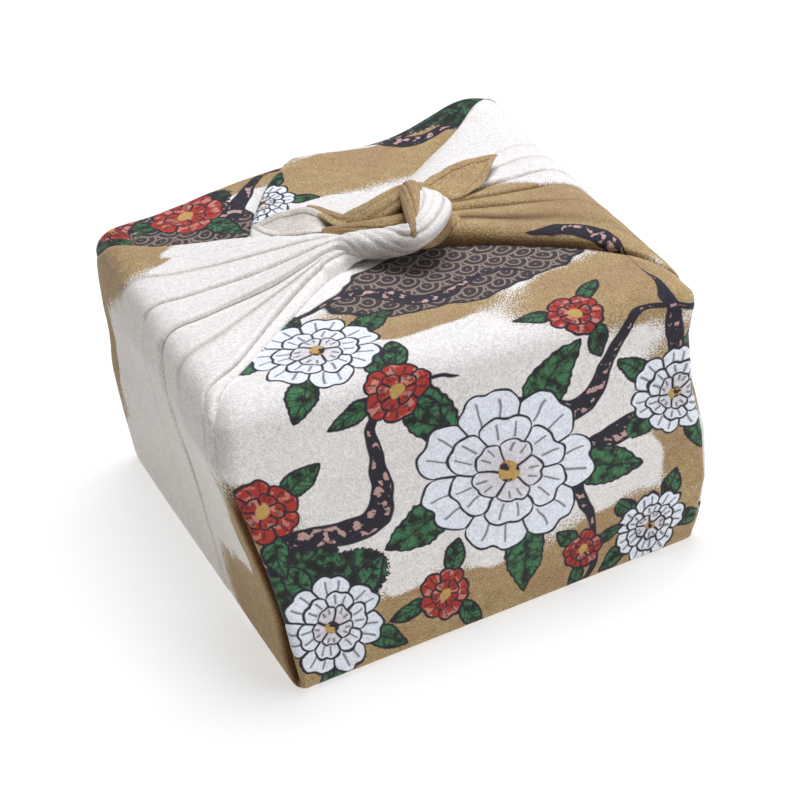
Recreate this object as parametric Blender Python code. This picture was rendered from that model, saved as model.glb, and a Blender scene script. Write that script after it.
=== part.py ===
"""A square furoshiki cloth wrapped round a box and tied on top with a reef knot.

The frame has +X from the left tie to the right tie, +Y from the front face to the back face and +Z up,
with the origin under the middle of the wrap, on the surface that it stands on. The cloth and the box
in it are one solid. Its layers are first laid out on an even box and then settled, which moves them to
where the hand-tied cloth lies. The tables are in millimetres.
"""

import math
from typing import NamedTuple

import bmesh
import bpy
import numpy as np
from mathutils import Vector

MM = 0.001

HALF_SIDE = 100.0  # half of the wrapped box's width and depth, cloth included
HEIGHT = 131.0  # top of the cloth on the box
CORNER_RADIUS = 7.0  # of the four upright corners
TOP_RADIUS = 11.0  # of the soft edge where the cloth turns over the top
BASE_RADIUS = 3.0  # of the edge where the cloth turns under the base
SINK = 4.0  # how far a layer's inner side reaches into the body, so that the two join as one
MIDDLE = (1.1, 1.3, 0.0)  # moves the finished wrap so that the middle of its outline is over the origin
SHARP = math.radians(50)  # faces that meet at more than this show an edge


class Level(NamedTuple):
    """How far the four upright corners lie from the even box's at one height, as (x, y)."""

    height: float
    front_left: tuple
    front_right: tuple
    back_right: tuple
    back_left: tuple


LEVELS = (
    Level(0, (4, -10), (-5, 2), (0, 1), (-1, 5)),
    Level(14, (3, -8), (-3, 0), (1, 2), (-2, 6)),
    Level(33, (1, -6), (0, -2), (2, 3), (-3, 6)),
    Level(58, (-1, -4), (-1, -3), (3, 3), (-4, 5)),
    Level(84, (-4, -4), (-2, -4), (4, 3), (-3, 4)),
    Level(108, (-8, -4), (1, -4), (5, 3), (-3, 3)),
    Level(131, (-6, 1), (4, -4), (5, 2), (-4, 0)),
)
# How far the corners of the top lie above HEIGHT.
TOP_RISE = {"front_left": 3.0, "front_right": 1.0, "back_right": 2.0, "back_left": 0.0}


class Puff(NamedTuple):
    """A place on the top where folds beneath hold the cloth up."""

    x: float
    y: float
    reach: float
    rise: float


PUFFS = (
    Puff(0, 0, 60, 1.5),
    Puff(-60, 98, 40, 2.0),
    Puff(8, 100, 22, 6.5),
    Puff(48, 100, 26, 3.0),
    Puff(84, 100, 18, 8.0),
)


def smooth(low, high, value):
    """0 below low, 1 above high, and an even turn between."""
    t = np.clip((value - low) / (high - low), 0, 1)
    return t * t * (3 - 2 * t)


def corner_shares(x, y):
    """How much of a place belongs to each upright corner."""
    right = np.clip(x / HALF_SIDE, -1.1, 1.1) / 2 + 0.5
    back = np.clip(y / HALF_SIDE, -1.1, 1.1) / 2 + 0.5
    return {
        "front_left": (1 - right) * (1 - back),
        "front_right": right * (1 - back),
        "back_right": right * back,
        "back_left": (1 - right) * back,
    }


def settled(points):
    """Points of the even box, moved to where the tied cloth lies."""
    x, y, z = points.T
    heights = [level.height for level in LEVELS]
    moved = points.copy()
    for corner, share in corner_shares(x, y).items():
        for axis in (0, 1):
            shifts = [getattr(level, corner)[axis] for level in LEVELS]
            moved[:, axis] += share * np.interp(z, heights, shifts)
        moved[:, 2] += share * TOP_RISE[corner] * z / HEIGHT
    for puff in PUFFS:
        away = ((x - puff.x) ** 2 + (y - puff.y) ** 2) / puff.reach**2
        moved[:, 2] += puff.rise * np.exp(-away) * smooth(0.7 * HEIGHT, HEIGHT, z)
    return moved


def spline(rows, steps):
    """Rows read along a smooth curve through them, `steps` to each gap. Every column is curved alike."""
    rows = np.array(rows, float)
    padded = np.vstack([2 * rows[0] - rows[1], rows, 2 * rows[-1] - rows[-2]])
    read = []
    for before, start, end, after in zip(padded, padded[1:], padded[2:], padded[3:]):
        bend = 2 * before - 5 * start + 4 * end - after
        twist = 3 * start - before - 3 * end + after
        for t in np.linspace(0, 1, steps, endpoint=False):
            read.append(start + ((end - before) * t + bend * t**2 + twist * t**3) / 2)
    return np.array(read + [rows[-1]])


def around(rows, k):
    """The step from the row before row k to the row after it."""
    return rows[min(k + 1, len(rows) - 1)] - rows[max(k - 1, 0)]


def closed_loft(name, rings):
    """A solid through rings that have as many points each, with its two ends closed."""
    mesh = bmesh.new()
    loops = [[mesh.verts.new(Vector((point + MIDDLE) * MM)) for point in ring] for ring in rings]
    for lower, upper in zip(loops, loops[1:]):
        for i in range(len(lower)):
            j = (i + 1) % len(lower)
            mesh.faces.new((lower[i], lower[j], upper[j], upper[i]))
    mesh.faces.new(reversed(loops[0]))
    mesh.faces.new(loops[-1])
    bmesh.ops.recalc_face_normals(mesh, faces=mesh.faces)
    data = bpy.data.meshes.new(name)
    mesh.to_mesh(data)
    mesh.free()
    data.shade_smooth()
    data.set_sharp_from_angle(angle=SHARP)
    made = bpy.data.objects.new(name, data)
    bpy.context.scene.collection.objects.link(made)
    return made


# The body: the base, the four sides and the top, with the box inside them.

SIDE_STEPS = 12  # faces along a side
CORNER_STEPS = 3  # faces round an upright corner
SIDE_SWELL = 2.5  # how far the middle of a side stands out
FLAT_BASE = 12.0  # inset of the ring that closes the base


def on_circle(angle):
    return np.array((math.cos(angle), math.sin(angle)))


def square_outline(half, radius):
    """An even square with round corners, as (x, y), from the front left corner round."""
    inner = half - radius
    points = []
    for quarter in range(4):
        first = math.pi * (1 + quarter / 2)
        last = first + math.pi / 2
        middle = math.sqrt(2) * inner * on_circle(first + math.pi / 4)
        for angle in np.linspace(first, last, CORNER_STEPS, endpoint=False):
            points.append(middle + radius * on_circle(angle))
        start = middle + radius * on_circle(last)
        along = 2 * inner * on_circle(last + math.pi / 2)
        points += [start + along * t for t in np.linspace(0, 1, SIDE_STEPS, endpoint=False)]
    return np.array(points)


def side_profile():
    """Pairs of (inset from the side, height), from the base up the side and in over the top."""
    profile = [(FLAT_BASE, 0.0), (BASE_RADIUS, 0.0), (0.0, BASE_RADIUS)]
    profile += [(0.0, height) for height in np.linspace(18, 106, 6)]
    for angle in np.linspace(0, math.pi / 2, 6):
        inset = TOP_RADIUS * (1 - math.cos(angle))
        profile.append((inset, HEIGHT - TOP_RADIUS * (1 - math.sin(angle))))
    return profile + [(inset, HEIGHT) for inset in (24, 40, 58, 76, 90)]


def body():
    rings = []
    for inset, height in side_profile():
        half = HALF_SIDE - inset
        outline = square_outline(half, min(max(CORNER_RADIUS - inset / 3, 2.0), half / 2))
        from_corner = 1 - np.min(abs(outline), axis=1) / HALF_SIDE
        swell = SIDE_SWELL * math.sin(math.pi * height / HEIGHT) * from_corner
        outline += outline / np.linalg.norm(outline, axis=1)[:, None] * swell[:, None]
        rings.append(settled(np.column_stack([outline, np.full(len(outline), height)])))
    return closed_loft("furoshiki", rings)


# The flap that the back corner makes on the top, over the front one.


class FlapRow(NamedTuple):
    """One line of the flap from its left fold to its right end."""

    back: float
    height: float
    left: float
    right: float
    lift: float  # of the cloth above the even box


FLAP_ROWS = (
    FlapRow(101, 60, -4, 96, 0.6),
    FlapRow(101, 100, -6, 97, 1.5),
    FlapRow(99, 124, -9, 97, 3.0),
    FlapRow(92, 131, -14, 96, 4.6),
    FlapRow(74, 131, -30, 92, 3.6),
    FlapRow(44, 131, -44, 80, 3.0),
    FlapRow(10, 131, -48, 60, 2.6),
    FlapRow(-20, 131, -30, 50, 2.2),
)
ACROSS_FLAP = np.linspace(0, 1, 14)


def fold_ring(start, end, across, out, rise):
    """A slice of a layer: its outer side stands `rise` off the even box, and its inner side is sunk in."""
    places = np.array(start) + np.outer(across, np.subtract(end, start))
    out = np.array(out) / np.linalg.norm(out)
    outer = places + np.outer(rise, out)
    inner = places - SINK * out
    return settled(np.vstack([outer, inner[::-1]]))


def flap():
    rows = spline(FLAP_ROWS, 2)
    rings = []
    for k, (back, height, left, right, lift) in enumerate(rows):
        deeper, higher = around(rows, k)[:2]
        rise = lift * (0.4 + 0.6 * smooth(0, 0.3, ACROSS_FLAP) * smooth(1, 0.8, ACROSS_FLAP))
        start, end = (left, back, height), (right, back, height)
        rings.append(fold_ring(start, end, ACROSS_FLAP, (0, higher, -deeper), rise))
    return closed_loft("back_flap", rings)


# The two ties: each side corner's cloth, up its side and pleated over the top into the knot.


class TieRow(NamedTuple):
    """One line of a tie from its front fold to its back one."""

    reach: float  # distance from the middle of the wrap towards the side
    height: float
    front: float
    back: float
    lift: float  # of the cloth above the even box
    pleat: float  # depth of the valleys between its folds


class Valley(NamedTuple):
    """A valley between two pleats, as shares of the tie's width from its front fold."""

    place: float
    width: float


LEFT_TIE = (
    TieRow(100, 1, -99, 99, 2.0, 0.2),
    TieRow(100, 30, -100, 99, 2.6, 0.4),
    TieRow(100, 62, -101, 99, 2.8, 0.6),
    TieRow(100, 92, -101, 98, 2.8, 0.9),
    TieRow(100, 114, -100, 95, 2.6, 1.3),
    TieRow(96.5, 127, -94, 88, 2.8, 1.8),
    TieRow(87, 131, -85, 78, 3.8, 2.6),
    TieRow(70, 131, -64, 59, 6.2, 3.8),
    TieRow(52, 131, -43, 42, 8.6, 5.0),
    TieRow(36, 131, -26, 27, 10.4, 5.0),
    TieRow(24, 131, -14, 15, 12.0, 3.6),
    TieRow(12, 131, -10, 6, 12.0, 1.0),
)
LEFT_VALLEYS = (Valley(0.12, 0.035), Valley(0.40, 0.05), Valley(0.66, 0.06))
RIGHT_TIE = (
    TieRow(100, 1, -97, 99, 2.0, 0.2),
    TieRow(100, 30, -98, 100, 3.6, 0.4),
    TieRow(100, 62, -98, 100, 3.2, 0.6),
    TieRow(100, 92, -96, 99, 2.8, 0.8),
    TieRow(100, 114, -90, 98, 2.8, 1.0),
    TieRow(96.5, 127, -80, 97, 3.4, 1.4),
    TieRow(88, 131, -70, 89, 5.0, 2.4),
    TieRow(74, 131, -58, 76, 7.2, 4.0),
    TieRow(56, 131, -43, 60, 9.4, 5.0),
    TieRow(42, 131, -32, 46, 11.0, 4.6),
    TieRow(32, 131, -24, 33, 12.0, 3.2),
    TieRow(22, 131, -18, 20, 12.0, 1.0),
)
RIGHT_VALLEYS = (Valley(0.14, 0.05), Valley(0.34, 0.05), Valley(0.50, 0.05), Valley(0.74, 0.06))
ACROSS_TIE = np.linspace(0, 1, 30)
LEAST_RISE = 0.4  # a valley never reaches the body's own surface


def tie(name, side, table, valleys):
    """A tie on the side at x = side, which is -1 or 1."""
    rows = spline(table, 2)
    rings = []
    for k, (reach, height, front, back, lift, pleat) in enumerate(rows):
        wider, higher = around(rows, k)[:2]
        rise = lift * (0.4 + 0.6 * smooth(0, 0.05, ACROSS_TIE) * smooth(1, 0.95, ACROSS_TIE))
        for valley in valleys:
            rise -= pleat * np.exp(-(((ACROSS_TIE - valley.place) / valley.width) ** 2))
        rise = np.maximum(rise, LEAST_RISE)
        start, end = (side * reach, front, height), (side * reach, back, height)
        rings.append(fold_ring(start, end, ACROSS_TIE, (side * higher, 0, -wider), rise))
    return closed_loft(name, rings)


# The reef knot: two strands, each with its bight over the other's legs and its end beside its own leg.


class StrandRow(NamedTuple):
    """One place along a strand, with the strand's half width and half thickness there."""

    x: float
    y: float
    z: float
    wide: float
    thick: float
    turn: float  # degrees that the flat side is turned about the strand


KNOT_CORE = np.array((12.0, -8.0, 130.0))  # the strands' flat sides face away from here
LEFT_STRAND = (
    StrandRow(-27, -1, 137, 7, 4, 0),
    StrandRow(-15, -8, 140.5, 7.5, 5.5, 0),
    StrandRow(-6, -15, 142, 7.5, 6.5, 0),
    StrandRow(3, -23, 144, 8, 6.5, 0),
    StrandRow(11, -31, 148, 8.5, 6, 0),
    StrandRow(19, -28, 152.5, 9.5, 5.5, 0),
    StrandRow(25, -13, 153.5, 10, 5, 0),
    StrandRow(26, 2, 151, 10, 5, 0),
    StrandRow(19, 11, 146.5, 10, 5.5, 0),
    StrandRow(10, 10, 145, 11, 6, 0),
    StrandRow(1, 8, 144, 10, 5, 0),
    StrandRow(-8, 8, 143, 7, 4, 0),
    StrandRow(-16, 13, 142, 7, 3, -20),
    StrandRow(-25, 23, 141, 8.5, 2.2, -40),
    StrandRow(-35, 32, 139.5, 7, 1.6, -40),
    StrandRow(-45, 38, 138, 2, 1.0, -40),
)
RIGHT_STRAND = (
    StrandRow(48, -12, 134, 6, 4, 0),
    StrandRow(37, -10, 140, 7.5, 5.5, 0),
    StrandRow(27, -11, 142, 7.5, 5.5, 0),
    StrandRow(16, -20, 142, 6.5, 4.5, 0),
    StrandRow(7, -28, 145, 6, 4, 0),
    StrandRow(6, -25, 151, 6.5, 4, 0),
    StrandRow(9, -13, 154, 7.5, 4.2, 0),
    StrandRow(13, -1, 154.5, 8, 4.5, 0),
    StrandRow(18, 11, 151.5, 8, 4.5, 0),
    StrandRow(28, 15, 147, 8.5, 4.5, 0),
    StrandRow(36, 13, 146, 9.5, 3.6, 0),
    StrandRow(44, 13, 146.5, 11, 2.6, 0),
    StrandRow(54, 17, 147.5, 11, 1.8, 0),
    StrandRow(64, 23, 148, 7, 1.4, 0),
    StrandRow(72, 28, 148, 2, 1, 0),
)
ROUND_STRAND = 2 * math.pi * np.arange(14) / 14
GATHERS = 4  # grooves round a strand, where its cloth is bunched
GATHER_DEPTH = 0.1  # of a groove, as a share of the strand
GATHER_TWIST = 0.12  # radians that the grooves turn from one ring to the next


def strand(name, table):
    """A flattened tube of bunched cloth along a smooth curve."""
    rows = spline(table, 3)
    rings = []
    for k, (x, y, z, wide, thick, turn) in enumerate(rows):
        place = np.array((x, y, z))
        along = around(rows, k)[:3]
        along /= np.linalg.norm(along)
        out = place - KNOT_CORE
        out -= along * out.dot(along)
        out /= np.linalg.norm(out)
        across = np.cross(along, out)
        cosine, sine = on_circle(math.radians(turn))
        out, across = out * cosine + across * sine, across * cosine - out * sine
        groove = GATHER_DEPTH * min(thick / 5, 1) * np.cos(GATHERS * ROUND_STRAND + k * GATHER_TWIST)
        rings.append(
            place
            + np.outer(wide * (1 + groove) * np.cos(ROUND_STRAND), across)
            + np.outer(thick * (1 + groove) * np.sin(ROUND_STRAND), out)
        )
    return closed_loft(name, rings)


def crepe():
    """Printed crepe: matt, gold and ivory on the whole."""
    material = bpy.data.materials.new("printed_crepe")
    material.use_nodes = True
    shader = material.node_tree.nodes["Principled BSDF"]
    shader.inputs["Base Color"].default_value = (0.66, 0.58, 0.42, 1)
    shader.inputs["Roughness"].default_value = 0.85
    shader.inputs["Metallic"].default_value = 0.0
    return material


def join(whole, piece):
    """Makes the piece part of the whole. A strand bends so tightly that it can meet itself."""
    union = whole.modifiers.new(piece.name, "BOOLEAN")
    union.operation = "UNION"
    union.solver = "EXACT"
    union.use_self = True
    union.object = piece
    piece.hide_render = True
    piece.display_type = "WIRE"


for old in list(bpy.data.objects):
    bpy.data.objects.remove(old)

furoshiki = body()
furoshiki.data.materials.append(crepe())
join(furoshiki, flap())
join(furoshiki, tie("left_tie", -1, LEFT_TIE, LEFT_VALLEYS))
join(furoshiki, tie("right_tie", 1, RIGHT_TIE, RIGHT_VALLEYS))
join(furoshiki, strand("left_strand", LEFT_STRAND))
join(furoshiki, strand("right_strand", RIGHT_STRAND))
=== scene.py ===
"""A square of printed crepe wrapped round a box and tied on top, dressed for the picture.

+X runs from the left tie to the right tie, +Y from the front to the back and +Z up. The cloth's sizes are
in millimetres and its layers are first laid on an even box, then settled as the solid's are.
"""

import math
from functools import reduce
from typing import NamedTuple

import bmesh
import bpy
import numpy as np
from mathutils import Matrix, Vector, noise


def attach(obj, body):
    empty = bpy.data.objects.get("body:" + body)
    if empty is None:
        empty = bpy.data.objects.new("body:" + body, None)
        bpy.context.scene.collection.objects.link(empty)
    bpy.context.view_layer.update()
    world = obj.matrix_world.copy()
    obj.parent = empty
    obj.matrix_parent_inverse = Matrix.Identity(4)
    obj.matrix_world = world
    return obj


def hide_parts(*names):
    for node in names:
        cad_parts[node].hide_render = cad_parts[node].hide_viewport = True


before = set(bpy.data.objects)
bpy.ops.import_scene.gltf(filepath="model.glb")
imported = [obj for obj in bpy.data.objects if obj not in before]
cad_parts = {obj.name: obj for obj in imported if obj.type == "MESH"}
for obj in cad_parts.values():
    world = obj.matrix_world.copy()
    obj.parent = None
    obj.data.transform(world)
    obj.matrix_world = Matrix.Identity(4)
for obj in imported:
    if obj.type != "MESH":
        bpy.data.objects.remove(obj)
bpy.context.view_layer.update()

# The camera: a long lens, seen from above the front left, a little turned.
bpy.ops.object.select_all(action="DESELECT")
bpy.ops.object.camera_add(
    location=(-0.29838, -0.89896, 0.62214),
    rotation=(math.radians(59.3847), math.radians(6.4641), math.radians(-22.2114)),
)
camera = bpy.context.object
camera.data.sensor_width = 36
camera.data.lens = 108.99
camera.data.shift_x = 0.006875
camera.data.shift_y = -0.027125
bpy.context.scene.camera = camera

# The floor: a plain white light table, wide enough to fill the view. Its own pale glow keeps shadows light.
bpy.ops.object.select_all(action="DESELECT")
bpy.ops.mesh.primitive_plane_add(size=8, location=(0, 0, 0))
floor = bpy.context.object
floor.name = "floor"
white_acrylic = bpy.data.materials.new("lit_white_acrylic")
white_acrylic.use_nodes = True
acrylic = white_acrylic.node_tree.nodes["Principled BSDF"].inputs
acrylic["Base Color"].default_value = (0.46, 0.46, 0.46, 1)
acrylic["Roughness"].default_value = 0.9
acrylic["Specular IOR Level"].default_value = 0.0
acrylic["Emission Color"].default_value = (1, 0.995, 0.985, 1)
acrylic["Emission Strength"].default_value = 0.63
floor.data.materials.append(white_acrylic)

# The light: a wide soft one overhead, a weaker one at the front right and a dim room. The sides are mostly
# lit by what the white table gives back, and the left one by a warm wall too.
DAYLIGHT = (0.96, 0.98, 1.05)
WARM = (1.0, 0.74, 0.34)
LIT_PLACE = Vector((0, 0, 0.05))  # where the lights point, low in the wrap
for name, place, size, watts, colour in (
    ("overhead_light", (0.50, 0.42, 2.45), 1.8, 67, DAYLIGHT),
    ("front_light", (1.30, -1.50, 1.10), 1.4, 19, DAYLIGHT),
    ("warm_wall", (-1.60, 0.10, 0.70), 1.4, 1.2, WARM),
):
    bpy.ops.object.light_add(type="AREA", location=place)
    light = bpy.context.object
    light.name = name
    light.rotation_euler = (LIT_PLACE - Vector(place)).to_track_quat("-Z", "Y").to_euler()
    light.data.shape = "DISK"
    light.data.size = size
    light.data.energy = watts
    light.data.color = colour
room = bpy.data.worlds.new("pale_room")
room.use_nodes = True
room.node_tree.nodes["Background"].inputs["Color"].default_value = (0.97, 0.98, 1.0, 1)
room.node_tree.nodes["Background"].inputs["Strength"].default_value = 0.03
bpy.context.scene.world = room
bpy.context.scene.view_settings.view_transform = "Standard"


# The printed crepe: silk-like crepe with a pebbled face, printed before it was hemmed. Every piece carries
# the flat cloth's own places, in metres from the cloth's middle, so that one print runs over them all. It
# has gold clouds on ivory, dark ribbons, waves and pines, and white and red flowers among leaves, outlined
# in ink. Places and sizes on it are in millimetres, with u to the right and v to the back.

MM = 0.001


class Field:
    """A number that changes over the cloth. Sums with it add nodes to the print."""

    tree = None

    def __init__(self, socket):
        self.socket = socket

    @staticmethod
    def of(operation, *values, clamp=False):
        node = new_node("Math")
        node.operation = operation
        node.use_clamp = clamp
        for place, value in zip(node.inputs, values):
            feed(place, value)
        return Field(node.outputs[0])

    def __add__(self, other):
        return Field.of("ADD", self, other)

    def __sub__(self, other):
        return Field.of("SUBTRACT", self, other)

    def __rsub__(self, other):
        return Field.of("SUBTRACT", other, self)

    def __mul__(self, other):
        return Field.of("MULTIPLY", self, other)

    def __truediv__(self, other):
        return Field.of("DIVIDE", self, other)

    def __pow__(self, other):
        return Field.of("POWER", self, other)

    def __abs__(self):
        return Field.of("ABSOLUTE", self)

    __radd__ = __add__
    __rmul__ = __mul__


def new_node(kind):
    return Field.tree.nodes.new("ShaderNode" + kind)


def feed(place, value):
    if isinstance(value, Field):
        Field.tree.links.new(value.socket, place)
    else:
        place.default_value = value


def sine(turn):
    return Field.of("SINE", turn)


def cosine(turn):
    return Field.of("COSINE", turn)


def larger(one, other):
    return Field.of("MAXIMUM", one, other)


def smaller(one, other):
    return Field.of("MINIMUM", one, other)


def inside(depth, soft):
    """1 where the depth is over 0 and 0 where it is under, with an edge `soft` wide."""
    return Field.of("MULTIPLY_ADD", depth, 1 / soft, 0.5, clamp=True)


def chosen(where, one, other):
    """`one` where the mask is 1, and `other` where it is 0."""
    return Field.of("MULTIPLY_ADD", where, one - other, other)


def length(x, y):
    """How far a place is from the middle, from its two distances."""
    return Field.of("SQRT", Field.of("MULTIPLY_ADD", x, x, y * y))


def mixed(one, other, share, way="MIX"):
    """Two colours mixed, with `share` of the second."""
    mix = new_node("Mix")
    mix.data_type = "RGBA"
    mix.blend_type = way
    feed(mix.inputs["Factor"], share)
    for place, value in zip([p for p in mix.inputs if p.type == "RGBA"], (one, other)):
        feed(place, value)
    return Field(next(p for p in mix.outputs if p.type == "RGBA"))


def painted(ground, mask, colour):
    """The ground's colour with another laid over it where the mask is 1."""
    return mixed(ground, colour, mask)


def screen(red, green, blue):
    """A printing colour, given as it shows on a screen, 0 to 255."""
    return tuple(((c / 255 + 0.055) / 1.055) ** 2.4 for c in (red, green, blue)) + (1,)


def noise_over(place, scale, detail=2.0):
    """Soft noise from about 0 to 1, as a number and as three."""
    texture = new_node("TexNoise")
    texture.inputs["Scale"].default_value = scale
    texture.inputs["Detail"].default_value = detail
    Field.tree.links.new(place, texture.inputs["Vector"])
    return Field(texture.outputs[0]), texture.outputs[1]


def split(vector):
    parts = new_node("SeparateXYZ")
    Field.tree.links.new(vector, parts.inputs[0])
    return [Field(p) for p in parts.outputs]


IVORY = screen(237, 232, 226)
PALE_GOLD = screen(201, 178, 138)
GOLD = screen(179, 151, 100)
DEEP_GOLD = screen(134, 102, 62)
RED_GOLD = screen(158, 122, 94)
BRIGHT_GOLD = screen(226, 204, 150)
INK = screen(46, 43, 52)
PETAL = screen(236, 240, 247)
PINK_FLECK = screen(196, 158, 150)
LEAF = screen(52, 72, 50)
LEAF_LIGHT = screen(70, 122, 82)
LEAF_DARK = screen(38, 40, 40)
RED = screen(176, 58, 46)
RED_PALE = screen(206, 132, 116)
DARK_WAVE = screen(66, 56, 60)
WAVE_LINE = screen(150, 134, 118)
STAMEN = screen(196, 160, 92)
BACK_IVORY = screen(232, 225, 216)
BACK_SHADE = screen(220, 210, 198)
PAINTED_SHADE_LOSS = (0.62, 0.70, 0.78)  # share of red, green and blue that the shade painted into folds takes away
DARKEST = 0.06  # share of its colour that the darkest painted fold shade keeps
GRAIN = 1150  # pebbles to a metre
THREAD = 420  # and threads' light and dark patches


def rows_of(kind, rows):
    """Rows of plain numbers, each read as one of a kind."""
    return [kind(*row) for row in rows]


class Oval(NamedTuple):
    """A rounded patch of the print: its middle on the cloth and its half width and length."""

    u: float
    v: float
    wide: float
    long: float


CLOUDS = rows_of(Oval, (
    (-40, -108, 78, 24), (66, -112, 60, 26), (96, -168, 20, 46), (-100, -150, 20, 52),
    (-8, -268, 40, 18), (80, -248, 50, 28), (-120, -84, 30, 46), (-150, -100, 52, 15),
    (-236, 92, 34, 36), (-180, 96, 60, 12), (150, 70, 50, 46), (196, -60, 46, 50),
    (290, -60, 70, 61), (-476, 0, 66, 60), (440, 0, 116, 60), (-70, 120, 60, 30), (60, 170, 50, 26),
    (50, 268, 66, 24), (-20, 236, 60, 14), (10, -20, 90, 34),
))


class Ribbon(NamedTuple):
    """A dark ribbon that waves about a straight line through (u, v)."""

    u: float
    v: float
    turn: float  # degrees from +u
    reach: float  # half its length
    swing: float
    wave: float
    phase: float
    half: float  # half its width where it is widest


RIBBONS = rows_of(Ribbon, (
    (70, -178, -58, 86, 16, 92, 0.4, 6.5),
    (52, -206, -22, 60, 12, 70, 2.2, 5.0),
    (-62, -176, -40, 74, 14, 84, 1.0, 5.5),
    (-10, -286, 12, 60, 7, 60, 0.0, 4.5),
    (160, 0, 70, 110, 20, 110, 0.0, 7.0),
    (-10, 180, 30, 120, 18, 100, 1.5, 6.5),
    (-60, 256, -8, 60, 10, 66, 0.6, 6.0),
    (150, 344, 35, 70, 10, 70, 0.0, 4.0),
    (258, -93, 12, 36, 4, 62, 0.8, 4.6),
    (240, 97, 6, 15, 1, 60, 0.0, 4.5),
    (70, 250, 22, 34, 4, 46, 0.5, 4.4),
))


class Flower(NamedTuple):
    """A flower on the cloth, with its radius out to its petals' tips."""

    u: float
    v: float
    radius: float
    turn: float


WHITE_FLOWERS = rows_of(Flower, (
    (10, -172, 40, 10), (-52, -258, 27, 40), (92, -184, 22, 70), (-80, -126, 24, 25),
    (74, -118, 18, 0), (170, -16, 38, 30), (-34, 166, 40, 0), (66, 206, 24, 50), (-9, 277, 18, 15),
    (0, 0, 44, 20),
))
RED_FLOWERS = rows_of(Flower, (
    (-30, -222, 14, 0), (50, -236, 12, 30), (-92, -186, 15, 50), (-28, -122, 13, 10),
    (40, -118, 10, 65), (-60, 250, 17, 20), (-92, 236, 12, 0), (132, 52, 15, 0), (206, -62, 15, 40),
    (34, 128, 15, 0), (96, 160, 13, 60), (-70, 60, 15, 10), (78, -52, 14, 30),
))
WAVES = rows_of(Oval, (
    (20, -292, 52, 26), (-76, 268, 40, 34), (196, 30, 26, 40),
))
PINES = rows_of(Oval, (
    (-96, 246, 16, 15), (-76, 238, 18, 13), (-54, 246, 15, 10), (86, 238, 17, 13),
    (108, 246, 20, 15), (130, 236, 16, 12), (-86, -156, 17, 15), (-66, -146, 15, 12),
    (-96, -134, 13, 14), (-108, 228, 16, 15), (176, 100, 22, 16), (-20, 208, 20, 14),
    (120, -8, 20, 15),
))


def on_circle(angle):
    return np.array((math.cos(angle), math.sin(angle)))


def in_oval(oval, u, v):
    """How far inside an oval patch a place lies. It is under 0 outside."""
    away = length((u - oval.u) / oval.wide, (v - oval.v) / oval.long)
    return (1 - away) * min(oval.wide, oval.long)


def in_ribbon(ribbon, u, v):
    """How far inside a ribbon a place lies."""
    cos, sin = on_circle(math.radians(ribbon.turn))
    s = (u - ribbon.u) * cos + (v - ribbon.v) * sin
    t = (v - ribbon.v) * cos - (u - ribbon.u) * sin
    turn = s * (2 * math.pi / ribbon.wave) + ribbon.phase
    slope = cosine(turn) * (ribbon.swing * 2 * math.pi / ribbon.wave)
    away = abs(t - sine(turn) * ribbon.swing) / Field.of("SQRT", slope * slope + 1)
    taper = 1 - (s / ribbon.reach) ** 2
    width = larger(taper, 0.0) ** 0.5 * (sine(turn * 0.7 + 1) * 0.3 + 0.7) * ribbon.half
    return width - away - inside(0 - taper, 0.01) * 2


def deepest(place_in, patches, u, v):
    """How far inside the nearest of the patches a place lies."""
    return reduce(larger, [place_in(patch, u, v) for patch in patches])


def nearest(flowers, u, v):
    """How far a place is from the nearest flower's middle in its own radii, which way from there, and the
    flower's radius."""
    best = across = along = radius = None
    for flower in flowers:
        x = (u - flower.u) / flower.radius
        y = (v - flower.v) / flower.radius
        far = length(x, y)
        cos, sin = on_circle(math.radians(flower.turn))
        turned = x * cos + y * sin, y * cos - x * sin
        if best is None:
            best, (across, along) = far, turned
            radius = far * 0 + flower.radius
            continue
        closer = Field.of("LESS_THAN", far, best)
        across = chosen(closer, turned[0], across)
        along = chosen(closer, turned[1], along)
        radius = chosen(closer, radius * 0 + flower.radius, radius)
        best = smaller(best, far)
    return length(across, along), Field.of("ARCTAN2", along, across), radius


def outlined(colour, depth, half_line, soft, fill):
    """A filled shape over the colour, outlined in ink. `depth` is how far inside it a place lies."""
    colour = painted(colour, inside(depth + half_line, soft), INK)
    return painted(colour, inside(depth - half_line, soft), fill)


def petals(colour, far, turn, radius, count, reach, dent, start, fill, line):
    """A ring of petals over the colour: filled, outlined in ink and parted by lines down to its middle."""
    bow = abs(cosine((turn + start) * (count / 2)))
    edge = reach * (1 - dent) + (bow**0.55) * (reach * dent) - (bow**14) * (reach * 0.07)
    depth = (edge - far) * radius
    colour = outlined(colour, depth, line / 2, 0.5, fill)
    parting = (bow * far) * radius * (2 / count)
    colour = painted(colour, inside(0.55 - parting, 0.5) * inside(depth, 0.5), INK)
    vein = abs(bow - 0.86) * far * radius * (3.4 / count)
    short = inside(far - edge * 0.62, 0.02) * inside(edge * 0.9 - far, 0.02)
    return painted(colour, inside(0.42 - vein, 0.5) * short * 0.75, INK)


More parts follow.
